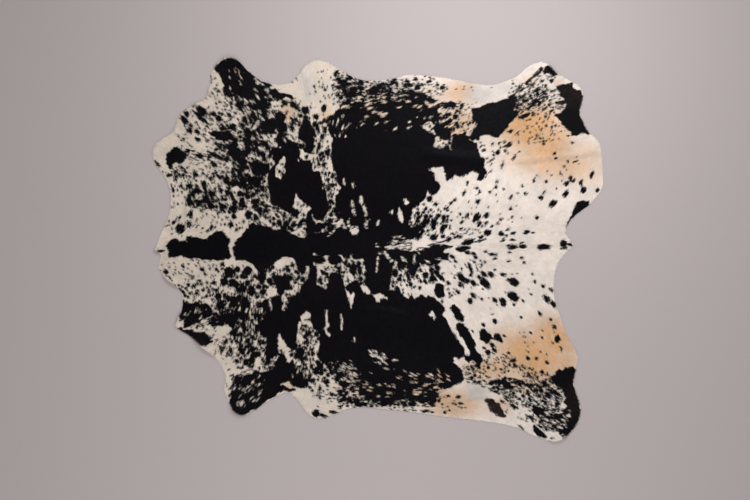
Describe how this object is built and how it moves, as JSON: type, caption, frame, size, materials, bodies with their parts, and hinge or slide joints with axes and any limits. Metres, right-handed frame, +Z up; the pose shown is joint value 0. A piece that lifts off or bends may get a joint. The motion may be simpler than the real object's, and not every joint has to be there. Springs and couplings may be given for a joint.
{
  "type": "cowhide rug",
  "caption": "Whole hair-on hide rug in its natural outline, with neck, leg and rump lobes, laid flat hair side up, softly creased, in speckled black and cream.",
  "frame": {"origin": "on the floor under the middle of the hide's bounding box", "axes": "+Z up, +X along the back from the neck to the tail, +Y towards the hide's right flank"},
  "size_m": [2.2444, 1.907, 0.0129],
  "materials": {
    "hide": "lying hair, black spots on cream and tan, suede underside"
  },
  "bodies": {
    "root": {"hide": "hide"}
  },
  "joints": []
}
